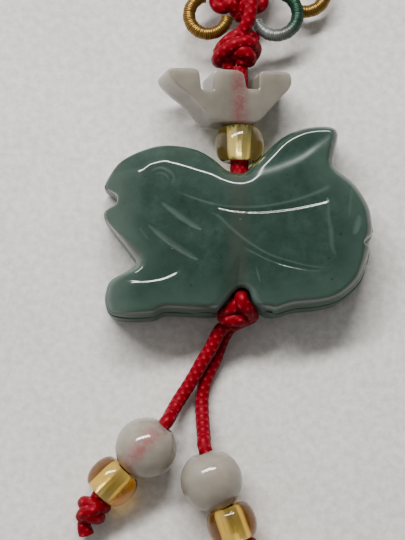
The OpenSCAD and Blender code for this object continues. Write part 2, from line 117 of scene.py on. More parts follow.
def put_mesh(name, points, faces, fields=None):
    """A mesh from points in millimetres and arrays of faces. The faces are turned round where the volume
    inside them comes out negative: it is the sum over their triangles of a dot (b cross c)."""
    volume = 0.0
    for f in faces:
        for k in range(1, f.shape[1] - 1):
            a, b, c = points[f[:, 0]], points[f[:, k]], points[f[:, k + 1]]
            volume += np.einsum("ij,ij->", a, np.cross(b, c))
    if volume < 0:
        faces = [f[:, ::-1] for f in faces]
    mesh = bpy.data.meshes.new(name)
    mesh.vertices.add(len(points))
    mesh.vertices.foreach_set("co", (points * MM).astype(np.float32).ravel())
    corners = np.concatenate([f.ravel() for f in faces])
    sizes = np.concatenate([np.full(len(f), f.shape[1]) for f in faces])
    mesh.loops.add(len(corners))
    mesh.loops.foreach_set("vertex_index", corners.astype(np.int32))
    mesh.polygons.add(len(sizes))
    mesh.polygons.foreach_set("loop_start", (np.cumsum(sizes) - sizes).astype(np.int32))
    mesh.update(calc_edges=True)
    mesh.validate()
    mesh.polygons.foreach_set("use_smooth", np.ones(len(mesh.polygons), bool))
    for label, values in (fields or {}).items():
        layer = mesh.attributes.new(label, "FLOAT", "POINT")
        layer.data.foreach_set("value", values.astype(np.float32).ravel())
    piece = bpy.data.objects.new(name, mesh)
    bpy.context.scene.collection.objects.link(piece)
    return piece


def tube(line, radius):
    """Rings about a line. Each point is the line's own, plus its radius times cos(turn) across and
    sin(turn) up. A tip a little beyond each end closes the tube."""
    sides = radius.shape[1]
    turn = 2 * np.pi * np.arange(sides) / sides
    ahead, across, up = sideways(line)
    out = np.cos(turn)[None, :, None] * across[:, None] + np.sin(turn)[None, :, None] * up[:, None]
    rings = line[:, None] + radius[..., None] * out
    tip_share = 0.3
    tips = np.stack([line[0] - tip_share * radius[0].mean() * ahead[0],
                     line[-1] + tip_share * radius[-1].mean() * ahead[-1]])
    return np.vstack([rings.reshape(-1, 3), tips]), skin_faces(len(rings), sides)


cord_d = 1.8
stitch_length = 1.08
yarns_each_way = 4
yarn_relief = 0.06
yarn_middle = 0.75
tip_lay = 0.4


def braid(turn, run, yarns):
    """Height of plaited yarn: two families wind opposite ways and pass over each other like a chessboard.
    Each is an arch across the yarn, times a lower arch along the stitch for which it lies on top."""
    a = turn * yarns + run / stitch_length
    b = turn * yarns - run / stitch_length
    over = (np.floor(a) + np.floor(b)) % 2 == 0
    across = np.where(over, a % 1, b % 1)
    lying = np.where(over, b % 1, a % 1)
    return np.sqrt(np.sin(np.pi * across)) * (0.4 + 0.6 * np.sin(np.pi * lying))


def braided(name, lines, width=None, spacing=0.1, sides=64, yarns=yarns_each_way):
    """Braided cord along one or more lines, as one mesh; the field 'lay' is how far the yarn stands out.
    The radius is half the width at each point, plus the yarn's relief times its height over the middle."""
    points, faces, lay, base = [], [], [], 0
    for line in lines:
        path, run = even_line(line, spacing)
        height = braid(np.arange(sides)[None, :] / sides, run[:, None], yarns)
        size = width(path) if width else np.full(len(path), cord_d)
        p, f = tube(path, size[:, None] / 2 + yarn_relief * (height - yarn_middle))
        points.append(p)
        faces += [g + base for g in f]
        lay.append(np.concatenate([height.ravel(), [tip_lay, tip_lay]]))
        base += len(p)
    return put_mesh(name, np.vstack(points), faces, {"lay": np.concatenate(lay)})


def finish_of(name, settings):
    """A new material with its main shader's sockets set, its nodes, its links and that shader."""
    material = bpy.data.materials.new(name)
    material.use_nodes = True
    tree = material.node_tree
    shader = tree.nodes["Principled BSDF"]
    for socket, value in settings.items():
        shader.inputs[socket].default_value = value
    return material, tree.nodes, tree.links, shader


def ramp(nodes, links, source, stops):
    """A colour ramp fed by a socket, from pairs of a place and a colour or plain grey."""
    node = nodes.new("ShaderNodeValToRGB")
    while len(node.color_ramp.elements) < len(stops):
        node.color_ramp.elements.new(0.5)
    for element, (place, colour) in zip(node.color_ramp.elements, stops):
        element.position = place
        element.color = (*colour, 1) if isinstance(colour, tuple) else (colour, colour, colour, 1)
    links.new(source, node.inputs["Fac"])
    return node.outputs["Color"]


def field(nodes, name):
    """The value of one of the mesh's own fields."""
    node = nodes.new("ShaderNodeAttribute")
    node.attribute_name = name
    return node.outputs["Fac"]


def noise(nodes, links, scale, detail, roughness=0.5):
    """Noise on the piece's own coordinates; the scale counts waves in a metre."""
    place = nodes.new("ShaderNodeTexCoord")
    node = nodes.new("ShaderNodeTexNoise")
    node.inputs["Scale"].default_value = scale
    node.inputs["Detail"].default_value = detail
    node.inputs["Roughness"].default_value = roughness
    links.new(place.outputs["Object"], node.inputs["Vector"])
    return node.outputs["Fac"]


def bump(nodes, links, height, shader, distance, strength):
    """Fine relief from a height socket; the distance is in millimetres."""
    node = nodes.new("ShaderNodeBump")
    node.inputs["Distance"].default_value = distance * MM
    node.inputs["Strength"].default_value = strength
    links.new(height, node.inputs["Height"])
    links.new(node.outputs["Normal"], shader.inputs["Normal"])


red_cord, nodes, links, shader = finish_of("red_cord", {
    "Roughness": 0.42, "Specular IOR Level": 0.09, "Specular Tint": (1.0, 0.45, 0.42, 1)})
# Painted light: the ramp on 'lay' paints shade into the crevices between the yarns and a bright highlight
# fleck on each yarn's crest.
links.new(ramp(nodes, links, field(nodes, "lay"),
               [(0.05, (0.12, 0.0, 0.0035)), (0.45, (0.155, 0.0006, 0.007)), (0.85, (0.18, 0.0007, 0.0085)),
                (1.0, (0.34, 0.022, 0.035))]),
          shader.inputs["Base Color"])
bump(nodes, links, noise(nodes, links, 9000.0, 1.0), shader, 0.02, 0.5)

# The loop's points are measured from the woven knot's top corner.
weave_corner_y = 37.495
loop_route = [
    [1.0, -0.2, 2.9], [1.0, 1.7, 2.3], [1.0, 3.8, 1.6], [1.1, 6.0, 1.1], [1.2, 8.4, 1.0], [1.5, 11.4, 1.0],
    [2.0, 15.4, 1.0], [2.8, 19.9, 1.0], [3.8, 24.9, 1.0], [4.9, 29.9, 1.0], [6.0, 34.9, 1.0],
    [7.0, 39.9, 1.0], [7.7, 44.9, 1.0], [7.8, 49.4, 1.0], [6.8, 53.9, 1.0], [4.6, 57.1, 1.0],
    [1.6, 58.6, 1.0]]
loop_right = np.array(loop_route) + [0, weave_corner_y, 0]
loop_line = smooth_line(np.vstack([loop_right, loop_right[::-1] * [-1, 1, 1]]))
hanging_loop = braided("hanging_cord", [loop_line], spacing=0.12, sides=48)
hanging_loop.data.materials.append(red_cord)
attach(hanging_loop, "root")
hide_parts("hanging_loop")


# Tails: the same cord below the plaque. The left one lies over the right one as they leave the knot;
# then they part, sink to the table and rise into the holes of the round beads.
lower_knot_mid = np.array([-0.3, -11.4312, 3.52])
round_d, round_l = 8.0, 7.416
glass_d, glass_l = 6.4, 4.6
string_gap = 0.1
glass_rise = 0.03
string_pitch = math.asin((round_d - glass_d - 2 * glass_rise) / (round_l + glass_l + 2 * string_gap))


def level_heading(degrees):
    """Unit vector on the table: the cosine and sine of a direction."""
    a = math.radians(degrees)
    return np.array([math.cos(a), math.sin(a), 0])


def heading(degrees):
    """Unit vector along a string: a direction on the table, falling by the string's pitch."""
    return math.cos(string_pitch) * level_heading(degrees) - [0, 0, math.sin(string_pitch)]


def string_places(enter, turns):
    """Middle and outer end of the round bead and of the glass bead, on the hole's line. Each is the one
    before it plus half a bead and its gap along the string."""
    round_mid = np.array([*enter, round_d / 2]) + round_l / 2 * level_heading(turns[0])
    round_out = round_mid + (round_l / 2 + string_gap / 2) * heading(turns[0])
    glass_mid = round_out + (glass_l / 2 + string_gap / 2) * heading(turns[1])
    glass_out = glass_mid + (glass_l / 2 + string_gap) * heading(turns[1])
    return round_mid, round_out, glass_mid, glass_out


end_knot_w = 4.3
stub_l = 1.4


def flared(path):
    """The cord's width, plus a bulge at the end that was sealed with a flame: 0.25 mm times a bell curve."""
    return cord_d + 0.25 * np.exp(-(np.linalg.norm(path - path[-1], axis=1) / 0.8) ** 2)


# Root and route are measured from the lower knot. The turns are the directions of the round bead, the
# glass bead, the end knot and the stub. The ball's middle lies beside its hole by hole_off.
tails = {
    "left": {
        "root": [-1.2, -1.2, 3.9],
        "route": [[-2.6, -2.4, 3.6], [-3.2, -3.5, 3.35], [-3.78, -4.65, 3.05], [-4.4, -5.65, 2.9],
                  [-5.0, -6.6, 2.75], [-5.85, -8.1, 2.45], [-6.85, -9.7, 2.15], [-7.9, -11.3, 2.1],
                  [-8.85, -13.0, 2.8]],
        "enter": [-9.85, lower_knot_mid[1] - 14.7], "turns": [-132, -135, -118, -80], "hole_off": 0.3},
    "right": {
        "root": [-1.0, -1.4, 2.2],
        "route": [[-1.8, -2.5, 1.7], [-2.35, -3.6, 1.35], [-2.8, -4.8, 1.25], [-3.3, -6.2, 1.25],
                  [-3.9, -7.4, 1.25], [-4.55, -9.0, 1.15], [-4.9, -10.8, 1.0], [-4.9, -12.7, 1.3],
                  [-4.8, -14.6, 2.2], [-4.65, -16.3, 3.3]],
        "enter": [-4.4, lower_knot_mid[1] - 18.1], "turns": [-70, -70, -60, -75], "hole_off": -0.6}}
knot_r = (end_knot_w - cord_d) / 2
for side, tail in tails.items():
    tail["places"] = string_places(tail["enter"], tail["turns"])
    round_mid, round_out, glass_mid, glass_out = tail["places"]
    tail["ahead"] = level_heading(tail["turns"][2])
    tail["knot_mid"] = (np.array([*glass_out[:2], end_knot_w / 2])
                        + (knot_r + cord_d / 2 - 0.1) * tail["ahead"])
    leave = tail["knot_mid"] + (knot_r + cord_d / 2) * tail["ahead"]
    stub = leave + stub_l * level_heading(tail["turns"][3]) - [0, 0, 0.5 * knot_r]
    line = smooth_line(np.vstack([
        np.array([tail["root"]] + tail["route"]) + [0, lower_knot_mid[1], 0],
        round_mid - (round_l / 2 + 0.4) * heading(tail["turns"][0]), round_mid, round_out, glass_mid,
        glass_out, tail["knot_mid"], leave - [0, 0, 0.2 * knot_r], stub]))
    tail["path"], tail["run"] = even_line(line, 0.5)
    tail["piece"] = braided("tail_" + side, [line], width=flared, spacing=0.09)
    tail["piece"].data.materials.append(red_cord)
    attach(tail["piece"], "root")
    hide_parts("tail_cord_" + side)


# End knots: each tail is wound one and a half times round itself and pulled tight, and one strand
# crosses over the windings; a short stub is left, its end sealed.
over_points = [[-0.2, 0.3, 0.86], [0.1, 0.1, 0.92], [0.45, -0.25, 0.8], [0.85, -0.35, 0.25]]
coil_from, coil_to, coil_step = -60, 480, 45
coil_pitch, coil_middle = 1.1, 0.45
upright = np.array([0, 0, 1.0])
for side, tail in tails.items():
    ahead = tail["ahead"]
    across = np.array([-ahead[1], ahead[0], 0])
    a = np.radians(np.arange(coil_from, coil_to + 1, coil_step))[:, None]
    coil = (tail["knot_mid"] + knot_r * (np.cos(a) * across + np.sin(a) * upright)
            + (a / math.radians(coil_to) - coil_middle) * coil_pitch * cord_d * ahead)
    over = tail["knot_mid"] + cord_d * (np.array(over_points) @ np.stack([ahead, across, upright]))
    tail["knot"] = braided("knot_" + side, [smooth_line(coil), smooth_line(over)], sides=48)
    tail["knot"].data.materials.append(red_cord)
    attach(tail["knot"], "root")
    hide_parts("end_knot_" + side)


# Core: the two strands that run pressed together from the upper knot to the lower one, through the
# flower, the glass bead and the plaque. The hole of the glass bead squeezes them.
hole_z = 4.6
glass_top_y = 10.6862
core_from_y, core_to_y = -8.2, 21.0
core_w, core_squeeze, squeeze_reach = 2.4, 0.6, 1.7


def core_width(path):
    """Two strands abreast, less a flat-topped bell curve where they pass the glass bead."""
    return core_w - core_squeeze * np.exp(-((path[:, 1] - glass_top_y) / squeeze_reach) ** 4)


core_y = np.linspace(core_from_y, core_to_y, 60)
core_line = np.stack([np.zeros_like(core_y), core_y, np.full_like(core_y, hole_z)], 1)
core = braided("core_strands", [core_line], width=core_width, yarns=10)
core.data.materials.append(red_cord)
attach(core, "root")
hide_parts("core_cord")


# Upper and lower knots: the strands are thrown round themselves once and drawn tight, so that one wrap
# lies across the front and a bulb of cord stands out beside it. Points are in cord widths.
upper_knot_mid = np.array([-0.6, 23.7602, 4.6])
knots = {
    "upper": (upper_knot_mid, [
        [[1.19, 3.89, 1.22], [1.19, 3.04, 1.28], [1.12, 2.31, 1.22], [0.93, 1.67, 1.06], [0.65, 1.15, 0.78],
         [0.39, 0.64, 0.44], [0.29, 0.11, 0.17], [0.40, -0.46, 0.00], [0.40, -1.13, 0.00]],
        [[0.93, -0.78, -0.78], [1.37, -0.39, -0.56], [1.51, 0.00, 0.00], [1.19, 0.13, 0.78],
         [0.60, 0.12, 1.22], [-0.14, -0.12, 1.28], [-0.72, -0.44, 0.94], [-1.15, -0.77, 0.33],
         [-1.14, -0.94, -0.33], [-0.62, -0.77, -0.83], [0.12, -0.51, -0.94], [0.93, -0.40, -0.78]],
        [[1.44, 0.66, -0.22], [0.98, 0.88, 0.39], [0.39, 0.82, 0.72], [-0.27, 0.47, 0.78],
         [-0.82, 0.05, 0.39], [-1.14, -0.32, -0.22]],
        [[-0.12, -0.73, 0.17], [0.16, -0.55, 0.78], [0.60, -0.56, 1.11], [1.00, -0.76, 0.89],
         [1.09, -1.03, 0.33], [0.68, -1.10, 0.44], [0.24, -1.01, 0.39]],
        [[-0.49, -0.59, 0.22], [-0.52, -0.94, 0.11], [-0.40, -1.50, -0.06]]]),
    "lower": (lower_knot_mid, [
        [[0.20, 1.17, 0.62], [0.22, 1.00, 1.10], [0.22, 0.95, 1.82], [0.34, 0.44, 1.90], [0.80, -0.02, 1.30],
         [1.02, -0.33, 0.45], [0.56, -0.49, -0.40]],
        [[0.06, 0.86, 0.80], [-0.10, 0.52, 1.50], [-0.50, 0.08, 1.40], [-0.98, -0.30, 0.80],
         [-0.93, -0.51, 0.88], [-0.40, -0.64, 1.15], [0.14, -0.65, 1.00], [0.36, -0.63, 0.16],
         [0.05, -0.49, -0.40], [-0.60, -0.30, -0.62], [-0.98, -0.32, -0.46]],
        [[0.10, 0.60, 0.90], [0.04, 0.05, 1.00], [-0.02, -0.38, 0.75]],
        [[0.78, -0.01, -0.18], [0.51, -0.53, 0.27], [0.04, -0.80, 0.43], [-0.40, -0.98, 0.32]]])}
for side, (mid, strands) in knots.items():
    knot = braided("knot_" + side, [mid + smooth_line(strand) * cord_d for strand in strands], spacing=0.09)
    knot.data.materials.append(red_cord)
    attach(knot, "root")
    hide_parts(side + "_knot")


# Woven knot: four runs of cord each way cross over and under, and turn back at the sides of the square.
# The square stands on its corner, with its far side a little lower.
top_knot_mid = np.array([0, 32.4002, 3.9])
weave_runs = 4
weave_reach = 2 * cord_d - 0.5
weave_lift = 0.36 * cord_d
weave_turn, weave_lean = math.radians(45), math.radians(-8)


def weave_run(flip):
    """One cord in four runs with a half turn between: straight, then half a circle round the next run's side.
    It rises and falls by a cosine of the crossings that it passes."""
    places = []
    for i in range(weave_runs):
        side = 1 if i % 2 == 0 else -1
        x = np.linspace(-1, 1, 25) * weave_reach * side
        y = np.full(25, (i - 1.5) * cord_d)
        lift = flip * weave_lift * np.cos(np.pi * (x / cord_d + 0.5 + i))
        places.append(np.stack([x, y, lift], 1))
        if i < weave_runs - 1:
            a = np.linspace(-np.pi / 2, np.pi / 2, 9)[1:-1]
            places.append(np.stack([side * (weave_reach + np.cos(a) * cord_d / 2),
                                    (i - 1) * cord_d + np.sin(a) * cord_d / 2, 0 * a], 1))
    return np.vstack(places)


def weave_place(p, quarter):
    """Turns a run by a quarter if asked, stands the square on its corner and lowers its far side."""
    p = p[:, [1, 0, 2]] * [-1, 1, 1] if quarter else p
    c = math.cos(weave_turn)
    x, y = c * (p[:, 0] - p[:, 1]), c * (p[:, 0] + p[:, 1])
    s, k = math.sin(weave_lean), math.cos(weave_lean)
    return top_knot_mid + np.stack([x, k * y - s * p[:, 2], s * y + k * p[:, 2]], 1)


weave_lines = [weave_place(weave_run(1), False), weave_place(weave_run(-1), True)]
woven = braided("woven_knot", weave_lines, spacing=0.11)
woven.data.materials.append(red_cord)
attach(woven, "root")
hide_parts("top_knot")


# Ears: loops of the woven knot's cord, closely wound with metallic thread, gold on the left and far
# right, variegated green and silver on the near right.
ear_d = 1.7
ear_sides = 40
thread_pitch = 0.24
thread_relief = 0.04


def wound_ring(name, mid, r, gap_at, gap, slope):
    """Part of a ring that slopes sideways, its radius half the ear's width plus ridges of thread: the size of
    sin(pi times the run in threads, less the turn), to the power 0.7. So the thread climbs round the ear."""
    a = np.radians(np.linspace(gap_at + gap / 2, gap_at + 360 - gap / 2, 400))
    flat = np.stack([r * np.cos(a), r * np.sin(a), 0 * a], 1)
    s, c = math.sin(math.radians(slope)), math.cos(math.radians(slope))
    line = mid + np.stack([c * flat[:, 0], flat[:, 1], -s * flat[:, 0]], 1)
    path, run = even_line(line, thread_pitch / 9)
    turn = np.arange(ear_sides)[None, :] / ear_sides
    ridge = np.abs(np.sin(np.pi * (run[:, None] / thread_pitch - turn))) ** 0.7
    uneven = 0.02 * np.sin(run[:, None] * 5.1 + 1.0) + 0.015 * np.sin(run[:, None] * 11.3)
    p, f = tube(path, ear_d / 2 - thread_relief + thread_relief * ridge + uneven)
    share = np.repeat(run / run[-1], ear_sides)
    return put_mesh(name, p, f, {"ridge": np.concatenate([ridge.ravel(), [0.2, 0.2]]),
                                 "share": np.concatenate([share, [0, 1]])})


def blend(nodes, links, kind, factor, a, b):
    """Mixes two colours. The factor and the colours are each a socket or a plain value."""
    node = nodes.new("ShaderNodeMix")
    node.data_type = "RGBA"
    node.blend_type = kind
    for name, value in (("Factor", factor), ("A", a), ("B", b)):
        if isinstance(value, bpy.types.NodeSocket):
            links.new(value, node.inputs[name])
        else:
            node.inputs[name].default_value = (*value, 1) if isinstance(value, tuple) else value
    return node.outputs["Result"]


gold_thread, nodes, links, shader = finish_of("gold_thread", {"Metallic": 0.85, "Roughness": 0.34})
# Painted shade: the ramp on 'ridge' darkens the grooves between the turns of thread and lightens the ridge
# tops.
links.new(ramp(nodes, links, field(nodes, "ridge"),
               [(0.0, (0.04, 0.014, 0.002)), (0.6, (0.14, 0.068, 0.010)), (1.0, (0.24, 0.14, 0.030))]),
          shader.inputs["Base Color"])
bump(nodes, links, noise(nodes, links, 7000.0, 2.0), shader, 0.02, 0.6)

green_thread, nodes, links, shader = finish_of("green_thread", {"Metallic": 0.6, "Roughness": 0.36})
silver_to_green = ramp(nodes, links, field(nodes, "share"),
                       [(0.0, (0.30, 0.34, 0.33)), (0.35, (0.13, 0.13, 0.12)), (0.55, (0.02, 0.055, 0.04)),
                        (0.8, (0.007, 0.042, 0.020)), (1.0, (0.010, 0.050, 0.022))])
shade = ramp(nodes, links, field(nodes, "ridge"), [(0.0, 0.15), (0.7, 1.0)])
links.new(blend(nodes, links, "MULTIPLY", 1.0, silver_to_green, shade), shader.inputs["Base Color"])
bump(nodes, links, noise(nodes, links, 7000.0, 2.0), shader, 0.02, 0.6)

# Node, place beside the woven knot, radius, direction and width of the gap, slope, thread and slot.
for name, off, r, gap_at, gap, slope, thread, slot in (
        ("ear_gold_left", (-4.05, -4.0, 0.4), 2.6, 46, 112, -6, gold_thread, "gold_thread"),
        ("ear_green_right", (4.93, -3.9, 0.3), 2.9, 139, 122, 2, green_thread, "green_thread"),
        ("ear_gold_right", (9.0, -0.3, -1.45), 2.75, 180, 118, -5, gold_thread, "gold_thread")):
    ear = wound_ring(name.replace("ear", "wound"), top_knot_mid + off, r, gap_at, gap, slope)
    ear.data.materials.append(thread)
    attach(ear, "root")
    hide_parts(name)


# Plaque: green jade sawn flat at the back and carved in front as a crouching rabbit that looks left.
# The face is gently domed, its lines are cut with a wheel, and all of it is polished.
plaque_w, plaque_h, plaque_t = 34.6, 24.6, 9.2
wall_top = 6.1
back_edge = 0.9
plaque_outline = np.array([
    [-0.505, 0.193], [-0.506, 0.212], [-0.487, 0.266], [-0.451, 0.326], [-0.390, 0.376], [-0.311, 0.412],
    [-0.239, 0.414], [-0.160, 0.391], [-0.095, 0.339], [-0.045, 0.280], [0.012, 0.268], [0.048, 0.311],
    [0.088, 0.365], [0.156, 0.453], [0.228, 0.501], [0.300, 0.518], [0.354, 0.509], [0.372, 0.470],
    [0.362, 0.385], [0.356, 0.320], [0.371, 0.281], [0.434, 0.203], [0.483, 0.093], [0.497, 0.001],
    [0.497, -0.060], [0.473, -0.091], [0.463, -0.118], [0.487, -0.147], [0.464, -0.269], [0.433, -0.338],
    [0.368, -0.410], [0.294, -0.441], [0.200, -0.455], [0.133, -0.482], [0.089, -0.472], [0.051, -0.431],
    [0.033, -0.373], [0.008, -0.352], [-0.016, -0.365], [-0.053, -0.420], [-0.095, -0.477], [-0.183, -0.477],
    [-0.278, -0.472], [-0.330, -0.498], [-0.425, -0.502], [-0.483, -0.482], [-0.503, -0.424],
    [-0.502, -0.367], [-0.483, -0.304], [-0.422, -0.254], [-0.389, -0.208], [-0.421, -0.136],
    [-0.469, -0.048], [-0.507, 0.030], [-0.504, 0.072], [-0.466, 0.100],
    [-0.464, 0.148]]) * [plaque_w, plaque_h]

# The shoulder runs past the notches of the mouth and the tail, and past the arch over the lower knot.
mouth_tail_arch = [25, 26, 35, 36, 37, 38, 39, 55, 56]


def ring_through(corners, steps):
    """A closed curve through the corners, its last point on its first."""
    return smooth_line(np.vstack([corners[-1:], corners, corners[:2]]), steps)[steps:-steps]


closed_rim = ring_through(plaque_outline, 12)
plaque_rim = closed_rim[:-1]
shoulder_rim = ring_through(np.delete(plaque_outline, mouth_tail_arch, 0), 6)


def nearest(line, x, y):
    """Shortest distance from each point to a chain of straight stretches, and the share of the chain at
    which it is reached. On a stretch from a to b that is at (p - a) dot (b - a) over its length squared."""
    best, along = np.full(x.shape, 1e9), np.zeros(x.shape)
    for i, ((ax, ay), (bx, by)) in enumerate(zip(line[:-1], line[1:])):
        t = np.clip(((x - ax) * (bx - ax) + (y - ay) * (by - ay)) / ((bx - ax) ** 2 + (by - ay) ** 2), 0, 1)
        gap = np.hypot(x - ax - t * (bx - ax), y - ay - t * (by - ay))
        along = np.where(gap < best, (i + t) / (len(line) - 1), along)
        best = np.minimum(best, gap)
    return best, along


def level(points, x):
    """Height of a carved edge that runs from left to right, at each x."""
    line = smooth_line(np.array(points, float), 8)
    return np.interp(x, line[:, 0], line[:, 1])


def ease(v):
    """Smooth step from 0 to 1: 3v^2 - 2v^3."""
    v = np.clip(v, 0, 1)
    return v * v * (3 - 2 * v)


def lower_of(a, b, soft):
    """The lower of two heights, rounded where they meet: a mix of both, less soft times k(1 - k)."""
    k = np.clip(0.5 + 0.5 * (b - a) / soft, 0, 1)
    return b + (a - b) * k - soft * k * (1 - k)


# Edges of the carving, each from left to right: the brow and back, the two edges of the grooves under
# the flank and along the haunch, and the top of the front paw.
brow = [(-17.5, 6.2), (-15, 6.4), (-13.3, 6.5), (-12.45, 6.73), (-11.62, 7.31), (-9.87, 7.73), (-8.79, 7.51),
        (-7.66, 7.2), (-5.08, 6.35), (-3.24, 5.75), (-1.04, 5.1), (0.45, 5.05), (3.21, 5.55), (5.14, 6.15),
        (7.73, 7.3), (9.76, 8.65), (12.9, 11.0)]
leg_top = [(-8.6, 3.5), (-8.2, 3.68), (-6.51, 2.95), (-3.87, 2.1), (-1.22, 1.62), (2.39, 1.62), (5.98, 2.23),
           (9.1, 3.18), (11.26, 4.15), (12, 4.5)]
leg_low = [(-8.6, 3.4), (-7.47, 2.7), (-6.03, 1.87), (-4.23, 1.02), (-3.5, 1.05), (-2.91, 1.27),
           (-0.74, 0.83), (2.39, 0.66), (5.98, 0.99), (8.87, 1.52), (11.15, 2.07), (12, 2.4)]
haunch_top = [(-4.9, 1.3), (-4.1, 1.02), (-2.66, 0.3), (-1.22, -1.13), (1.17, -3.05), (3.58, -4.49),
              (5.98, -5.33), (8.87, -6.05), (11.26, -6.3), (12, -6.3)]
haunch_low = [(-4.9, 1.1), (-3.62, 0.07), (-1.22, -2.58), (0.45, -3.88), (1.42, -4.4), (3.58, -5.47),
              (5.98, -6.3), (9.1, -6.82), (11.03, -6.6), (12, -6.4)]
paw_top = [(-17.5, -8.1), (-14.32, -8.21), (-12.27, -8.3), (-10.1, -7.98), (-8.55, -7.38), (-7.2, -6.7)]
wheel_cuts = (
    # line, depth, width, how frosted
    ([(11.39, 2.2), (11.32, 0.3), (11.62, -1.62), (11.75, -3.53), (12.3, -4.6)], 0.07, 0.75, 0.35),
    ([(11.2, 2.9), (11.3, 2.2)], 0.05, 0.35, 1.0),
    ([(-10.1, 2.23), (-7.5, 0.3), (-4.95, -1.37)], 0.07, 1.0, 0.45),
    ([(-11.83, -0.64), (-8.6, -3.2), (-5.43, -5.22)], 0.12, 1.0, 0.4),
    ([(-12.99, -1.01), (-11.79, -2.58)], 0.03, 0.6, 0.2),
    ([(-11.55, 6.31), (-10.35, 6.91), (-9.14, 6.42), (-8.55, 5.59), (-8.79, 4.51)], 0.03, 0.55, 0.3),
    ([(-10.9, 5.9), (-10.2, 6.15), (-9.5, 5.8), (-9.2, 5.2)], 0.02, 0.45, 0.25),
    ([(14.39, 4.3), (14.2, 2.4), (14.0, 0.4)], 0.02, 0.5, 0.25),
    ([(15.3, 0.6), (15.1, -0.7), (14.6, -1.9)], 0.03, 1.0, 0.5),
    ([(11.9, 10.9), (12.0, 9.7)], 0.02, 0.7, 0.6),
    ([(2.0, -6.2), (2.5, -8.1)], 0.03, 0.3, 0.5))


def trough(x, y, top, low, deep, bank, ends):
    """A groove between two edges. Its depth is the smaller of an easy step up from the lower edge, as wide as
    the bank, and a slope down from the upper edge; it fades at both ends, and its first stretch is not
    sunk. The second value is how frosted it is: a bell curve along the upper edge."""
    high, foot = level(top, x), level(low, x)
    wide = np.maximum(high - foot, 0.15)
    fade = ease((x - ends[0]) / 2.4) * ease((ends[1] - x) / 0.8)
    deep = deep * ease((x - ends[0] - 4.9) / 1.4)
    step = np.minimum(ease((y - foot) / bank), np.clip((high - y) / (0.8 * wide), 0, 1) ** 1.2)
    frost = 0.5 * np.exp(-((high - y) / wide / 0.14) ** 2)
    return deep * step * fade, frost * fade


def wheel_cut(x, y, line, deep, wide):
    """A wheel cut: 1 less the square of the distance from its line over its half width, which narrows to
    nothing at both ends. Also its share of the full depth."""
    best, along = nearest(smooth_line(np.array(line, float), 6), x, y)
    half = wide / 2 * np.sqrt(np.clip(4 * along * (1 - along), 0.02, 1))
    share = np.clip(1 - (best / half) ** 2, 0, 1)
    return deep * share * half / (wide / 2), share


dome_fall = 0.5
bevel_slope, bevel_soft = 0.55, 0.22
ear_depth, ear_slope_w = 0.08, 1.3
snout_slope, snout_soft = 0.8, 1.4
paw_depth, notch_slope = 0.14, 0.5
wall_frost = 0.8


def carved_height(x, y, edge, rim_gap):
    """Height of the carved front: the lower of a domed face, with its bevels, and a rounded shoulder at the
    rim, less all the cuts. The second value is how frosted the stone is there."""
    # The face: a dome, a bevel beyond the brow, the hollow of the ear, and a fall at the snout.
    dome = plaque_t - dome_fall * np.clip((x / (plaque_w / 2)) ** 2 + (y / (plaque_h / 2)) ** 2, 0, 1.3)
    above = np.maximum(y - level(brow, x), -0.5)
    bevel = dome + 0.03 - bevel_slope * above
    ear = dome - ear_depth * ease(above / ear_slope_w) * ease((11.2 - x) / 2.5)
    in_ear = ease((x - 0.4) / 2.6)
    face = lower_of(dome, bevel, bevel_soft) * (1 - in_ear) + ear * in_ear
    before = np.maximum(0.05 * y - 13.9 - x, -2.5)
    face = lower_of(face, dome + 0.1 - snout_slope * before, snout_soft)
    # The shoulder falls away towards the rim, and the rim is rolled, more so at the foot.
    reach = 3.2 + 0.5 * ease((y - 2) / 5) * (1 - in_ear) - 1.2 * ease((-6 - y) / 4)
    inward = np.clip(edge / reach, 0, 1)
    shoulder = wall_top + (plaque_t + 0.25 - wall_top) * (1 - (1 - inward) ** 2.3) ** 0.5
    low_side = ease((-3 - y) / 4)
    rolled = 1 - np.clip(rim_gap / (0.35 + 0.75 * low_side), 0, 1)
    z = lower_of(face, shoulder, 0.3) - (0.45 + 0.5 * low_side) * (1 - np.sqrt(1 - rolled ** 2))
    # The grooves and the wheel cuts, each with its frosted part.
    cuts, frost = trough(x, y, leg_top, leg_low, 0.12, 0.42, (-8.6, 11.9))
    more, matt = trough(x, y, haunch_top, haunch_low, 0.13, 0.5, (-4.9, 11.8))
    cuts, frost = np.maximum(cuts, more), np.maximum(frost, matt)
    frost = np.maximum(frost, 0.55 * in_ear * np.exp(-((above - 0.75) / 0.6) ** 2))
    frost = np.maximum(frost, wall_frost * (low_side * ease((0.9 - rim_gap) / 0.7)))
    for line, deep, wide, matt in wheel_cuts:
        more, share = wheel_cut(x, y, line, deep, wide)
        cuts, frost = np.maximum(cuts, more), np.maximum(frost, matt * share)
    # The step above the paw, and the notch that opens towards the lower knot.
    rise = y - level(paw_top, x)
    cuts = cuts + (paw_depth * ease(rise / 0.5) * np.exp(-np.maximum(rise, 0) / 3)
                   * ease((-7.2 - x) / 1.5) * ease((x + 15.2) / 1.2))
    run = (-4.49 - y) / 4.32
    half = np.maximum(0.25 + 2.1 * run, 0.05)
    notch = np.clip(1 - np.abs((x + 0.37 * run) / half), 0, 1) ** 1.2
    cuts = cuts + np.where(run > 0, notch_slope * run * notch, 0)
    # What the polishing wheel left uneven.
    broad = 0.006 * np.sin(1.3 * x + 0.6 * y) * np.sin(0.9 * y - 0.5 * x + 1)
    fine = 0.002 * np.sin(2.3 * x - 1.1 + 0.4 * y) * np.sin(2.1 * y + 0.7 * x)
    return z - cuts + broad + fine, frost


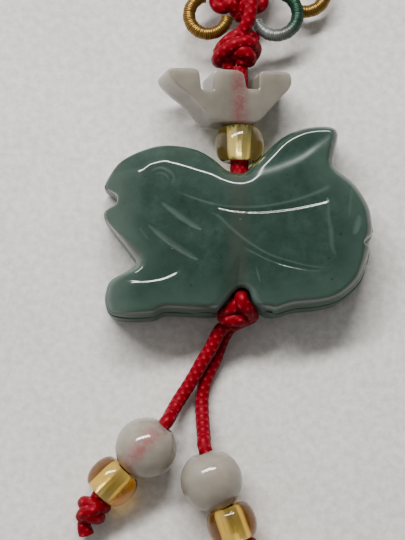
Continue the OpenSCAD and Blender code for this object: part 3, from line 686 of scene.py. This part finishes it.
sector = len(plaque_rim)
share = 1 - (1 - np.linspace(0.01, 1, 104)) ** 1.3
flat = share[:, None, None] * plaque_rim[None]
rim_gap = np.stack([nearest(closed_rim[::2], row[:, 0], row[:, 1])[0] for row in flat])
rim_gap[-1] = 0
edge = np.stack([nearest(shoulder_rim, row[:, 0], row[:, 1])[0] for row in flat])
height, frost = carved_height(flat[..., 0], flat[..., 1], edge, rim_gap)
front = np.concatenate([flat, height[..., None]], 2)
outward = plaque_rim / np.linalg.norm(plaque_rim, axis=1, keepdims=True)

# Inset and height of each row down the wall and round the edge of the back.
wall = [(-0.04, 5.4), (-0.09, 4.6), (-0.12, 3.4), (-0.12, 2.2), (-0.05, back_edge), (0.08, 0.55),
        (0.28, 0.24), (0.6, 0.05), (0.9, 0)]
sides = [np.column_stack([plaque_rim - inset * outward, np.full(sector, z)]) for inset, z in wall]
back_rim = plaque_rim - wall[-1][0] * outward
back = [np.column_stack([back_rim * s, np.zeros(sector)]) for s in (0.75, 0.5, 0.25, 0.05)]
rows = np.concatenate([front, np.stack(sides + back)])
points = np.vstack([rows.reshape(-1, 3), [[0, 0, front[0, :, 2].mean()], [0, 0, 0]]])

# The field 'inset' is how far inside the shoulder's rim each point lies, as a share of its limit.
# Where 'inset' is small, the jade's finish paints the stone lighter, as light shining through the thin edge
# would look.
inset_limit, back_inset = 5, 3.0
beyond_brow = ease((flat[..., 1] - level(brow, flat[..., 0])) / 0.6)
inset_field = np.concatenate([np.minimum(edge + 3 * beyond_brow, inset_limit).ravel(),
                              np.zeros(sector * len(wall)), np.full(sector * len(back), back_inset),
                              [inset_limit, inset_limit]])
frost_field = np.concatenate([frost.ravel(), np.full(len(points) - frost.size, wall_frost)])
plaque = put_mesh("carved_plaque", points, skin_faces(len(rows), sector),
                  {"inset": inset_field / inset_limit, "frost": frost_field})


def band_about(nodes, links, point, direction, half_width):
    """0 on a line through the piece and 1 at half a width beside it, measured level: the size of the upright
    part of (place - point) cross direction, over the half width."""
    place = nodes.new("ShaderNodeTexCoord")
    shift = nodes.new("ShaderNodeVectorMath")
    shift.operation = "SUBTRACT"
    shift.inputs[1].default_value = [v * MM for v in point]
    links.new(place.outputs["Object"], shift.inputs[0])
    beside = nodes.new("ShaderNodeVectorMath")
    beside.operation = "CROSS_PRODUCT"
    beside.inputs[1].default_value = [v / (half_width * MM) for v in direction]
    links.new(shift.outputs["Vector"], beside.inputs[0])
    parts = nodes.new("ShaderNodeSeparateXYZ")
    links.new(beside.outputs["Vector"], parts.inputs["Vector"])
    size = nodes.new("ShaderNodeMath")
    size.operation = "ABSOLUTE"
    links.new(parts.outputs["Z"], size.inputs[0])
    return size.outputs["Value"]


jade, nodes, links, shader = finish_of("jade", {
    "IOR": 1.52, "Subsurface Weight": 0.3, "Subsurface Radius": (0.6, 1.0, 0.8),
    "Subsurface Scale": 1.2 * MM})
clouds = ramp(nodes, links, noise(nodes, links, 330.0, 7.0, 0.72),
              [(0.3, (0.008, 0.024, 0.018)), (0.52, (0.016, 0.038, 0.028)), (0.75, (0.030, 0.059, 0.045))])
# Painted light: lighter, greener stone near the rim and on the walls, as light shining through the thin edge;
# the bevel beyond the brow counts as inside and keeps the darker colour.
painted_rim_glow = ramp(nodes, links, field(nodes, "inset"), [(0.0, 1.0), (0.5, 0.4), (1.0, 0.0)])
body = blend(nodes, links, "MIX", painted_rim_glow, clouds, (0.034, 0.062, 0.049))
# Painted see-through: the cord in the bore showing through the stone, as a duller, browner band along the
# hole.
painted_cord_band = ramp(nodes, links, band_about(nodes, links, (-0.2, 0, 0), (0, 1, 0), 1.9),
               [(0.3, 0.45), (1.0, 0.0)])
body = blend(nodes, links, "MIX", painted_cord_band, body, (0.036, 0.038, 0.030))
specks = ramp(nodes, links, noise(nodes, links, 1500.0, 2.0), [(0.70, 1.0), (0.78, (0.45, 0.42, 0.4))])
body = blend(nodes, links, "MULTIPLY", 1.0, body, specks)
matt = field(nodes, "frost")
milky_share = ramp(nodes, links, matt, [(0.0, 0.0), (1.0, 0.5)])
body = blend(nodes, links, "MIX", milky_share, body, (0.10, 0.15, 0.13))
links.new(body, shader.inputs["Base Color"])
links.new(ramp(nodes, links, matt, [(0.0, 0.11), (1.0, 0.42)]), shader.inputs["Roughness"])
links.new(ramp(nodes, links, matt, [(0.55, 0.5), (0.8, 0.12)]), shader.inputs["Specular IOR Level"])
plaque.data.materials.append(jade)
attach(plaque, "root")
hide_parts("jade_plaque")


# Flower: a tablet of white jade with three petals and straight sides, drilled along its length. It leans
# on its right edge, and the red cord showing through it is painted on as a pink band.
flower_w, flower_l, flower_t = 17.0, 7.1, 6.1
flower_lean = math.radians(15)
flower_bore_x = 2.2
flower_base_y = 13.0862
petal_w, notch_w, notch_l = 0.243 * flower_w, 2.0, 3.1


def rounded(corners, radii):
    """A closed outline with its corners rounded. Each bend is (1 - t)^2 a + 2t(1 - t)p + t^2 b, from a to b,
    which lie a radius away from the corner p on its two sides."""
    corners, out = np.asarray(corners, float), []
    t = np.linspace(0, 1, 7)[:, None]
    for i, r in enumerate(radii):
        p, a, b = corners[i], corners[i - 1], corners[(i + 1) % len(corners)]
        u, v = (a - p) / np.linalg.norm(a - p), (b - p) / np.linalg.norm(b - p)
        out.append((1 - t) ** 2 * (p + u * r) + 2 * t * (1 - t) * p + t ** 2 * (p + v * r))
    return np.vstack(out)


# Share of the width, share of the length and radius of each corner, upwards.
right_side = [(0.22, 0, 0.45), (0.262, 0.07, 0.38), (0.324, 0.25, 0.6), (0.405, 0.49, 0.6),
              (0.485, 0.67, 0.6), (0.508, 0.83, 0.5), (0.49, 1, 0.65)]
left_side = [(-0.145, 0, 0.5), (-0.19, 0.16, 0.6), (-0.243, 0.30, 0.5), (-0.30, 0.44, 0.5),
             (-0.375, 0.56, 0.6), (-0.455, 0.72, 0.5), (-0.505, 0.93, 1.0)]
mid_x, outer_x, floor_y = petal_w / 2, petal_w / 2 + notch_w, flower_l - notch_l
slant = 0.33
shallow = 0.5


def top_at(x):
    """Height of the petals' tips, a little lower on the left."""
    return flower_l * (0.975 + 0.025 * x / (0.5 * flower_w))


corners = [(x * flower_w, y * flower_l, r) for x, y, r in right_side] + [
    (outer_x, top_at(outer_x), 0.8), (outer_x, floor_y + shallow, 0.3),
    (mid_x + slant, floor_y + shallow, 0.3), (mid_x - 0.1, top_at(mid_x), 1.1),
    (-mid_x, top_at(-mid_x), 0.7), (-mid_x, floor_y, 0.3),
    (slant - outer_x, floor_y, 0.3), (-outer_x, top_at(-outer_x), 0.9)] + [
    (x * flower_w, y * flower_l, r) for x, y, r in left_side[::-1]]
bends = rounded([(x, y) for x, y, _ in corners], [r for _, _, r in corners])
outline = even_line(np.vstack([bends, bends[:1]]), 0.11)[0][:-1]
step = np.roll(outline, -1, 0) - np.roll(outline, 1, 0)
step /= np.linalg.norm(step, axis=1, keepdims=True)
normal = np.stack([step[:, 1], -step[:, 0]], 1)
edge_r = 0.28
bend = np.linspace(0, math.pi / 2, 6)
rounding = [(edge_r * (1 - math.sin(a)), flower_t / 2 - edge_r * (1 - math.cos(a))) for a in bend]
straight = np.linspace(-flower_t / 2 + edge_r, flower_t / 2 - edge_r, 8)[1:-1]
profile = [(inset, -z) for inset, z in rounding] + [(0, z) for z in straight] + rounding[::-1]
n = len(outline)
layers = np.stack([np.column_stack([outline - inset * normal, np.full(n, z)]) for inset, z in profile])
local = layers.reshape(-1, 3) - [flower_bore_x, 0, 0]
c, s = math.cos(flower_lean), math.sin(flower_lean)
placed = np.stack([c * local[:, 0] + s * local[:, 2], local[:, 1] + flower_base_y,
                   -s * local[:, 0] + c * local[:, 2] + hole_z], 1)
wall_faces = (len(profile) - 1) * n
front_and_back = [np.arange(n)[None, :], wall_faces + np.arange(n)[None, ::-1]]
flower = put_mesh("flower", placed, [ring_quads(len(profile), n)] + front_and_back)
flower.data.polygons.foreach_set("use_smooth", np.arange(wall_faces + 2) < wall_faces)


def white_jade_finish(name, point, direction, band, redness, paleness):
    """White translucent jade, cloudy; the cord in the hole showing through it is painted on as a mottled pink
    band.
    """
    material, nodes, links, shader = finish_of(name, {
        "Roughness": 0.1, "IOR": 1.55, "Transmission Weight": 0.3, "Subsurface Weight": 1.0,
        "Subsurface Radius": (1.0, 0.95, 0.9), "Subsurface Scale": 8.0 * MM})
    cloudy, milky, pink = (tuple(paleness * v for v in colour) for colour in (
        (0.175, 0.160, 0.134), (0.24, 0.222, 0.186), (0.20, 0.075, 0.075)))
    stone = ramp(nodes, links, noise(nodes, links, 280.0, 4.0, 0.65), [(0.3, cloudy), (0.7, milky)])
    # Painted see-through: the cord in the hole showing through the stone, as a mottled pink band beside the
    # hole's line.
    beside = ramp(nodes, links, band_about(nodes, links, point, direction, band),
                  [(0.25, redness), (1.0, 0.0)])
    patches = ramp(nodes, links, noise(nodes, links, 1100.0, 6.0, 0.75), [(0.38, 0.25), (0.62, 1.0)])
    painted_cord_pink = blend(nodes, links, "MULTIPLY", 1.0, beside, patches)
    links.new(blend(nodes, links, "MIX", painted_cord_pink, stone, pink), shader.inputs["Base Color"])
    return material


flower.data.materials.append(white_jade_finish("white_jade_flower", (0, 0, 0), (0, 1, 0), 1.6, 1.0, 1.06))
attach(flower, "root")
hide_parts("flower_bead")


# Round beads: white jade balls, flat at the ends of the hole, which is a little off the middle.
# Each hangs on its tail, and the cord showing through the left one is painted on in pink.
bead_sides = 96


def turned_bead(name, mid, ahead, profile, ripple=0.0):
    """A profile of distances along and from the hole's line, turned about that line. The profile closes on
    itself. A ripple is added to the distance from the line, one value for each turn step."""
    across = np.cross(ahead, (0, 0, 1.0))
    across /= np.linalg.norm(across)
    up = np.cross(across, ahead)
    turn = 2 * np.pi * np.arange(bead_sides) / bead_sides
    out = np.cos(turn)[None, :, None] * across + np.sin(turn)[None, :, None] * up
    profile = np.asarray(profile, float)
    reach = (profile[:, 1, None] + ripple)[..., None]
    points = mid + profile[:, 0, None, None] * ahead + reach * out
    quads = ring_quads(len(profile) + 1, bead_sides) % (len(profile) * bead_sides)
    return put_mesh(name, points.reshape(-1, 3), [quads])


# How far in from the end of the hole, and the hole's radius there.
hole_mouth = [(0.0, 1.3), (0.1, 1.12), (0.3, 1.05)]
half_l = round_l / 2
end_r = math.sqrt((round_d / 2) ** 2 - half_l ** 2)
reach = math.acos(end_r / (round_d / 2))
ball = [(round_d / 2 * math.sin(v), round_d / 2 * math.cos(v)) for v in np.linspace(-reach, reach, 49)]
drilled_ball = ball + [(half_l - depth, r) for depth, r in hole_mouth] + [
    (depth - half_l, r) for depth, r in hole_mouth[::-1]]
for side, redness in (("left", 0.85), ("right", 0.08)):
    tail = tails[side]
    round_mid, ahead = tail["places"][0], heading(tail["turns"][0])
    left = np.array([-ahead[1], ahead[0], 0]) / math.hypot(*ahead[:2])
    bead = turned_bead("ball_" + side, round_mid + tail["hole_off"] * left, ahead, drilled_ball)
    bead.data.materials.append(
        white_jade_finish("white_jade_" + side, round_mid, ahead.tolist(), 1.7, redness, 1.55))
    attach(bead, "root")
    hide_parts("round_bead_" + side)
    tail["ball"] = bead


# Glass beads: pale amber glass barrels; the hole is lined with a thin sleeve of gold foil that shows
# enlarged through the glass, with bright and dark streaks along it.
def amber_finish(name, tint, depth):
    """Clear glass, coloured by how far the light runs through it."""
    material, nodes, links, shader = finish_of(name, {
        "Base Color": (1, 0.98, 0.93, 1), "Roughness": 0.03, "IOR": 1.5, "Transmission Weight": 1.0})
    soak = nodes.new("ShaderNodeVolumeAbsorption")
    soak.inputs["Color"].default_value = (*tint, 1)
    soak.inputs["Density"].default_value = depth
    links.new(soak.outputs["Volume"], nodes["Material Output"].inputs["Volume"])
    return material


olive_glass = amber_finish("olive_amber_glass", (0.91, 0.79, 0.16), 340.0)
orange_glass = amber_finish("orange_amber_glass", (0.94, 0.78, 0.10), 540.0)

gold_foil, nodes, links, shader = finish_of("gold_foil", {
    "Metallic": 1.0, "Roughness": 0.3, "Base Color": (0.95, 0.90, 0.74, 1)})
bump(nodes, links, noise(nodes, links, 900.0, 3.0), shader, 0.08, 1.0)

end_r = 0.62 * glass_d / 2
mouth_bevel = 0.12
barrel = [(glass_l / 2 * math.sin(v), end_r + (glass_d / 2 - end_r) * math.cos(v))
          for v in np.linspace(-math.pi / 2, math.pi / 2, 33)]
sleeve_l = glass_l / 2 - 0.06
sleeve_out, sleeve_in, sleeve_flare = 0.07, 0.05, 0.07
a = 2 * np.pi * np.arange(bead_sides) / bead_sides
wrinkles = 0.022 * np.sin(5 * a + 1.2) + 0.012 * np.sin(11 * a + 0.4) + 0.006 * np.sin(19 * a)
glass_places = {"top": (np.array([0, glass_top_y, hole_z]), np.array([0, -1.0, 0]), 1.0, olive_glass)}
for side, tail in tails.items():
    glass_places[side] = (tail["places"][2], heading(tail["turns"][1]), 1.2, orange_glass)
for side, (mid, ahead, hole_r, amber) in glass_places.items():
    hole = [(glass_l / 2, hole_r + mouth_bevel), (glass_l / 2 - mouth_bevel, hole_r),
            (-glass_l / 2 + mouth_bevel, hole_r), (-glass_l / 2, hole_r + mouth_bevel)]
    glass = turned_bead("glass_" + side, mid, ahead, barrel + hole)
    glass.data.materials.append(amber)
    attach(glass, "root")
    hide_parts("glass_bead_" + side)
    flare = [(v * sleeve_l, hole_r + sleeve_out + sleeve_flare * v * v) for v in np.linspace(-1, 1, 13)]
    sleeve = flare + [(sleeve_l, hole_r - sleeve_in), (-sleeve_l, hole_r - sleeve_in)]
    lining = turned_bead("lining_" + side, mid, ahead, sleeve, ripple=wrinkles)
    lining.data.materials.append(gold_foil)
    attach(lining, "root")
    if side in tails:
        tails[side]["glass"], tails[side]["lining"] = glass, lining


# Table and light: a plain pale table of slightly mottled paper; a long low lamp beyond the pendant, and
# an even room round both.
paper, nodes, links, shader = finish_of("table", {"Roughness": 0.7})
broad = ramp(nodes, links, noise(nodes, links, 45.0, 4.0, 0.6),
             [(0.3, (0.64, 0.615, 0.59)), (0.7, (0.74, 0.715, 0.685))])
grain = ramp(nodes, links, noise(nodes, links, 1000.0, 3.0, 0.6), [(0.35, 0.80), (0.65, 1.0)])
links.new(blend(nodes, links, "MULTIPLY", 1.0, broad, grain), shader.inputs["Base Color"])
bump(nodes, links, noise(nodes, links, 1100.0, 4.0, 0.6), shader, 0.06, 0.6)
table_half, table_z = 600.0, -0.02
table_corners = np.array([(-1, -1), (1, -1), (1, 1), (-1, 1)]) * table_half
table = put_mesh("table", np.column_stack([table_corners, np.full(4, table_z)]), [np.array([[0, 1, 2, 3]])])
table.data.materials.append(paper)

lamp_distance = 0.5
long_lamp = bpy.data.lights.new("long_lamp", "AREA")
long_lamp.shape = "RECTANGLE"
long_lamp.size, long_lamp.size_y = 0.47, 0.07
long_lamp.energy = 5.4
long_lamp.color = (1.0, 0.98, 0.95)
lamp = bpy.data.objects.new("long_lamp", long_lamp)
away = Vector((-0.19, 0.5855, 0.788)).normalized()
lamp.location = away * lamp_distance
lamp.rotation_euler = away.to_track_quat("Z", "Y").to_euler()
bpy.context.scene.collection.objects.link(lamp)

# The room: even grey walls, brighter on the left, and darker overhead and a little towards the viewer.
world = bpy.data.worlds.new("room")
world.use_nodes = True
nodes, links = world.node_tree.nodes, world.node_tree.links
way = nodes.new("ShaderNodeTexCoord")
overhead = nodes.new("ShaderNodeVectorMath")
overhead.operation = "DOT_PRODUCT"
overhead.inputs[1].default_value = (0, -0.34, 0.94)
links.new(way.outputs["Generated"], overhead.inputs[0])
room = ramp(nodes, links, overhead.outputs["Value"],
            [(0.0, (0.44, 0.43, 0.42)), (0.3, (0.41, 0.405, 0.395)), (0.6, (0.34, 0.335, 0.325)),
             (0.85, (0.20, 0.197, 0.192)), (0.97, (0.12, 0.119, 0.117))])
from_left = nodes.new("ShaderNodeSeparateXYZ")
links.new(way.outputs["Generated"], from_left.inputs["Vector"])
left_to_right = nodes.new("ShaderNodeMapRange")
left_to_right.inputs["From Min"].default_value = -1.0
left_to_right.inputs["From Max"].default_value = 1.0
left_to_right.inputs["To Min"].default_value = 1.5
left_to_right.inputs["To Max"].default_value = 0.4
links.new(from_left.outputs["X"], left_to_right.inputs["Value"])
links.new(blend(nodes, links, "MULTIPLY", 1.0, room, left_to_right.outputs["Result"]),
          nodes["Background"].inputs["Color"])
nodes["Background"].inputs["Strength"].default_value = 1.45
bpy.context.scene.world = world
